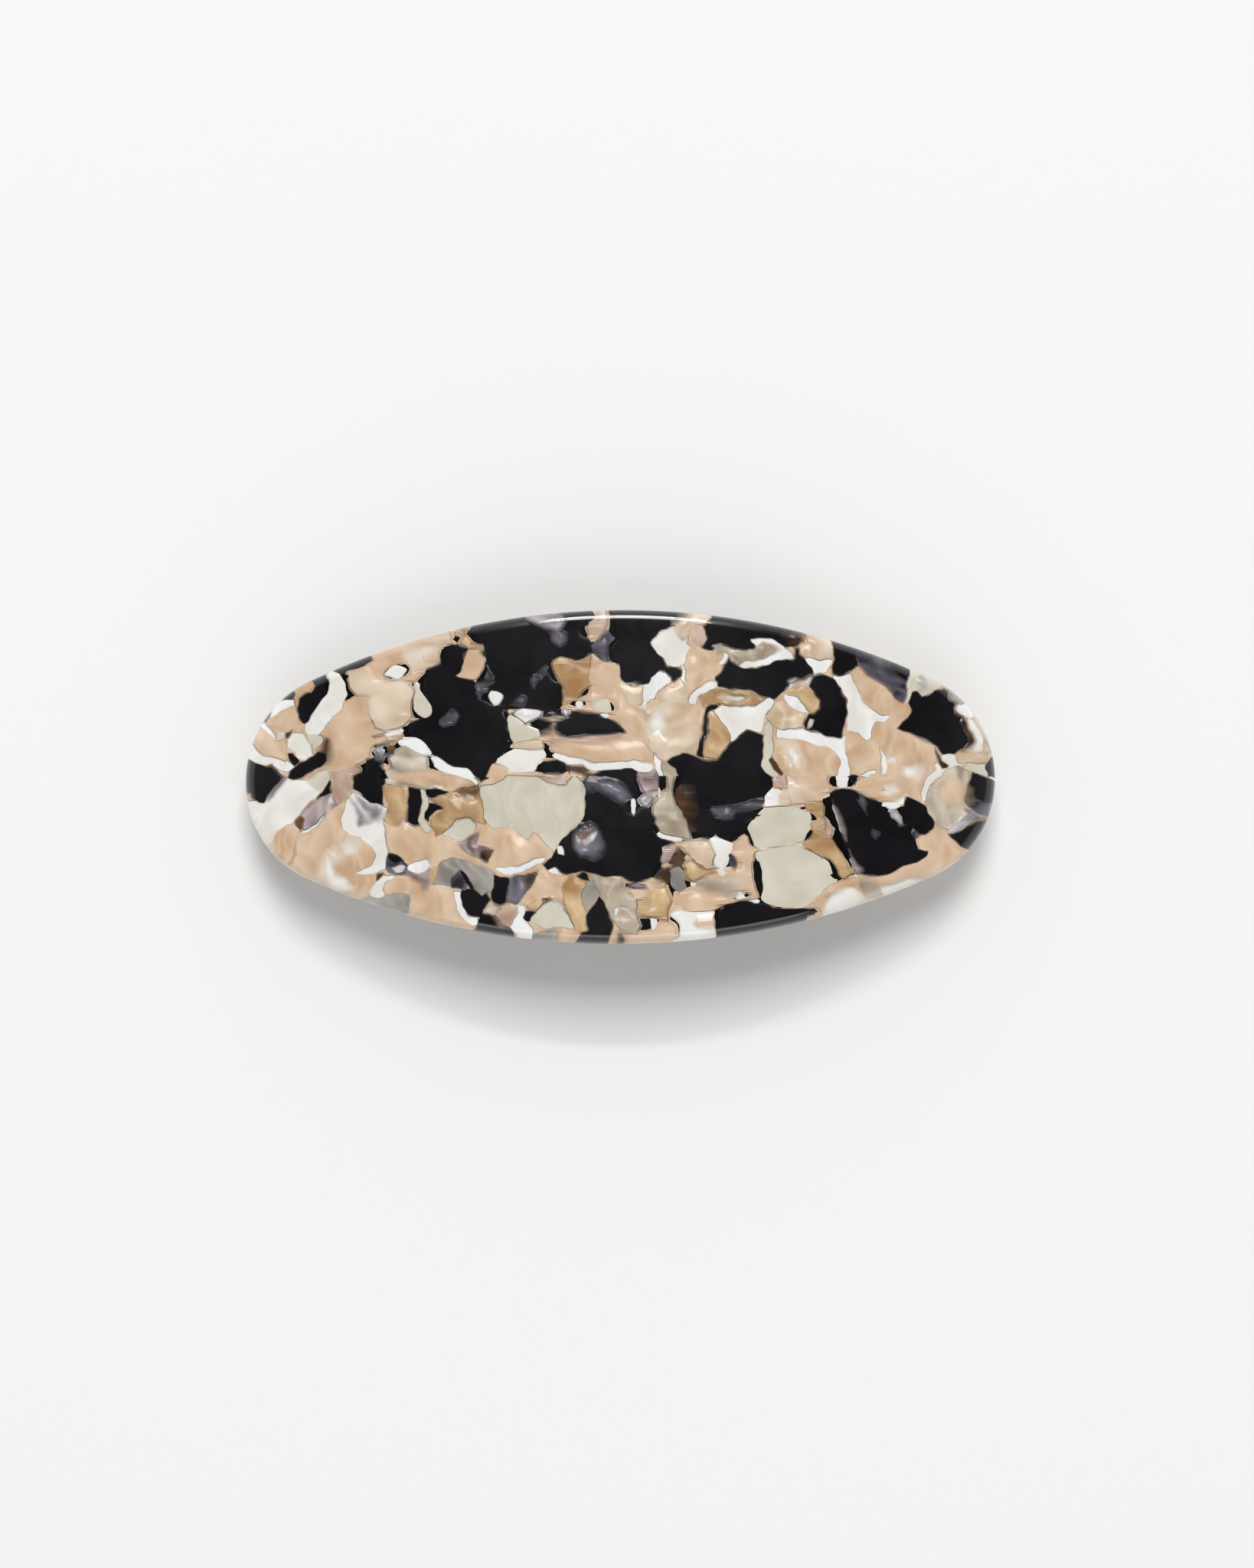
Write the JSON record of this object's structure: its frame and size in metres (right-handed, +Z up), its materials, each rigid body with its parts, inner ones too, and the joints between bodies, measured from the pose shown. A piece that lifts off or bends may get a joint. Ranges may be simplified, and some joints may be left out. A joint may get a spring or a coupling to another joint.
{
  "type": "barrette",
  "caption": "Oval arched hair barrette: a mottled acetate plate riveted to a sprung steel clasp whose hinged arm latches between two squeeze wings.",
  "frame": {"origin": "on the table, under the middle of the barrette, which lies on its closed clasp with the polished face up", "axes": "+X along the plate, from the clasp's hinge to its latch; +Y across the plate; +Z up, out of the polished face"},
  "size_m": [0.096, 0.0422, 0.0159],
  "materials": {
    "acetate": "polished, mottled black, tan, cream and brown",
    "plated_steel": "nickel plated",
    "spring_steel": "bright rolled spring strip",
    "rivet_steel": "plated, lightly peened"
  },
  "bodies": {
    "plate": {"acetate_plate": "acetate", "base_strip": "plated_steel", "mounting_rivets": "rivet_steel", "hinge_pin": "rivet_steel", "tension_spring": "spring_steel", "latch_seat": "spring_steel", "latch_rivet": "rivet_steel"},
    "arm": {"clasp_arm": "plated_steel"},
    "left_wing": {"latch_wing_left": "spring_steel"},
    "right_wing": {"latch_wing_right": "spring_steel"}
  },
  "joints": [
    {"name": "arm_hinge", "type": "hinge", "parent": "plate", "child": "arm", "pos_m": [-0.0372, 0, 0.003], "axis": [0, 1, 0], "range_deg": [0, 80]},
    {"name": "left_squeeze", "type": "hinge", "parent": "plate", "child": "left_wing", "pos_m": [0.0363, 0.0042, 0.00622], "axis": [-1, 0, 0], "range_deg": [0, 7], "stiffness_Nm_per_rad": 0.15},
    {"name": "right_squeeze", "type": "hinge", "parent": "plate", "child": "right_wing", "pos_m": [0.0363, -0.0042, 0.00622], "axis": [1, 0, 0], "range_deg": [0, 7], "stiffness_Nm_per_rad": 0.15}
  ]
}
